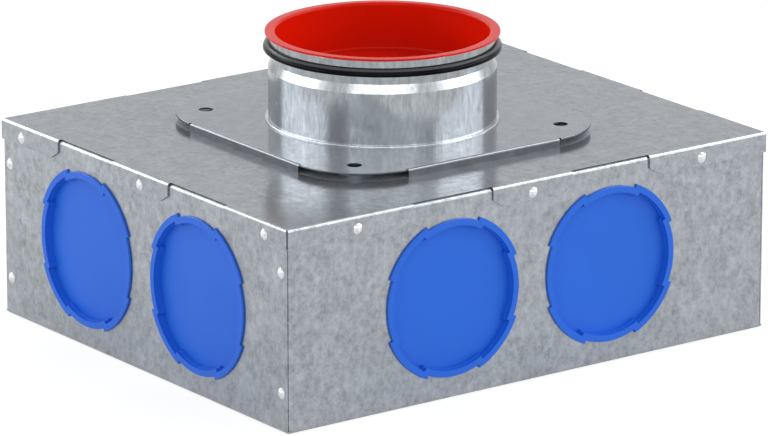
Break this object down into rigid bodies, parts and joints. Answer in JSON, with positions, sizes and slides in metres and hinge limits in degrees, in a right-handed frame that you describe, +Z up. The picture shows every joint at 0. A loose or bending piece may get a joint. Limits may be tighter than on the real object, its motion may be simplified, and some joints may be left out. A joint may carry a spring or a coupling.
{
  "type": "ventilation distribution box",
  "caption": "Low folded sheet-metal air distribution box with a round sealed spigot on top, a pull-out plug, and lobed side ports closed by pull-out caps.",
  "frame": {"origin": "middle of the casing's underside", "axes": "+Z up through the spigot; +X along the long faces to the right; -Y is the long face on the right of the picture, -X the short face on its left"},
  "size_m": [0.3226, 0.2726, 0.1645],
  "materials": {
    "galvanised_steel": "zinc-coated sheet with a fine mottled spangle, semi-gloss",
    "rubber": "black EPDM, satin",
    "red_plastic": "moulded polyethylene, glossy inside, lighter on the rim",
    "blue_plastic": "moulded polypropylene, satin",
    "rivet_metal": "bright domed heads"
  },
  "bodies": {
    "box": {"casing": "galvanised_steel", "lid": "galvanised_steel", "spigot_plate": "galvanised_steel", "spigot_tube": "galvanised_steel", "spigot_seal": "rubber", "front_lid_rivets": "rivet_metal", "right_lid_rivets": "rivet_metal", "back_lid_rivets": "rivet_metal", "left_lid_rivets": "rivet_metal", "left_corner_rivets": "rivet_metal", "right_corner_rivets": "rivet_metal"},
    "plug": {"spigot_plug": "red_plastic"},
    "front_left_cap": {"front_left_cap": "blue_plastic", "front_left_cap_seal": "rubber"},
    "front_right_cap": {"front_right_cap": "blue_plastic", "front_right_cap_seal": "rubber"},
    "right_front_cap": {"right_front_cap": "blue_plastic", "right_front_cap_seal": "rubber"},
    "right_back_cap": {"right_back_cap": "blue_plastic", "right_back_cap_seal": "rubber"},
    "back_right_cap": {"back_right_cap": "blue_plastic", "back_right_cap_seal": "rubber"},
    "back_left_cap": {"back_left_cap": "blue_plastic", "back_left_cap_seal": "rubber"},
    "left_back_cap": {"left_back_cap": "blue_plastic", "left_back_cap_seal": "rubber"},
    "left_front_cap": {"left_front_cap": "blue_plastic", "left_front_cap_seal": "rubber"}
  },
  "joints": [
    {"name": "plug_pull", "type": "slide", "parent": "box", "child": "plug", "axis": [0, 0, 1], "range_m": [0, 0.04]},
    {"name": "front_left_cap_pull", "type": "slide", "parent": "box", "child": "front_left_cap", "axis": [0, -1, 0], "range_m": [0, 0.03]},
    {"name": "front_right_cap_pull", "type": "slide", "parent": "box", "child": "front_right_cap", "axis": [0, -1, 0], "range_m": [0, 0.03]},
    {"name": "right_front_cap_pull", "type": "slide", "parent": "box", "child": "right_front_cap", "axis": [1, 0, 0], "range_m": [0, 0.03]},
    {"name": "right_back_cap_pull", "type": "slide", "parent": "box", "child": "right_back_cap", "axis": [1, 0, 0], "range_m": [0, 0.03]},
    {"name": "back_right_cap_pull", "type": "slide", "parent": "box", "child": "back_right_cap", "axis": [0, 1, 0], "range_m": [0, 0.03]},
    {"name": "back_left_cap_pull", "type": "slide", "parent": "box", "child": "back_left_cap", "axis": [0, 1, 0], "range_m": [0, 0.03]},
    {"name": "left_back_cap_pull", "type": "slide", "parent": "box", "child": "left_back_cap", "axis": [-1, 0, 0], "range_m": [0, 0.03]},
    {"name": "left_front_cap_pull", "type": "slide", "parent": "box", "child": "left_front_cap", "axis": [-1, 0, 0], "range_m": [0, 0.03]}
  ]
}
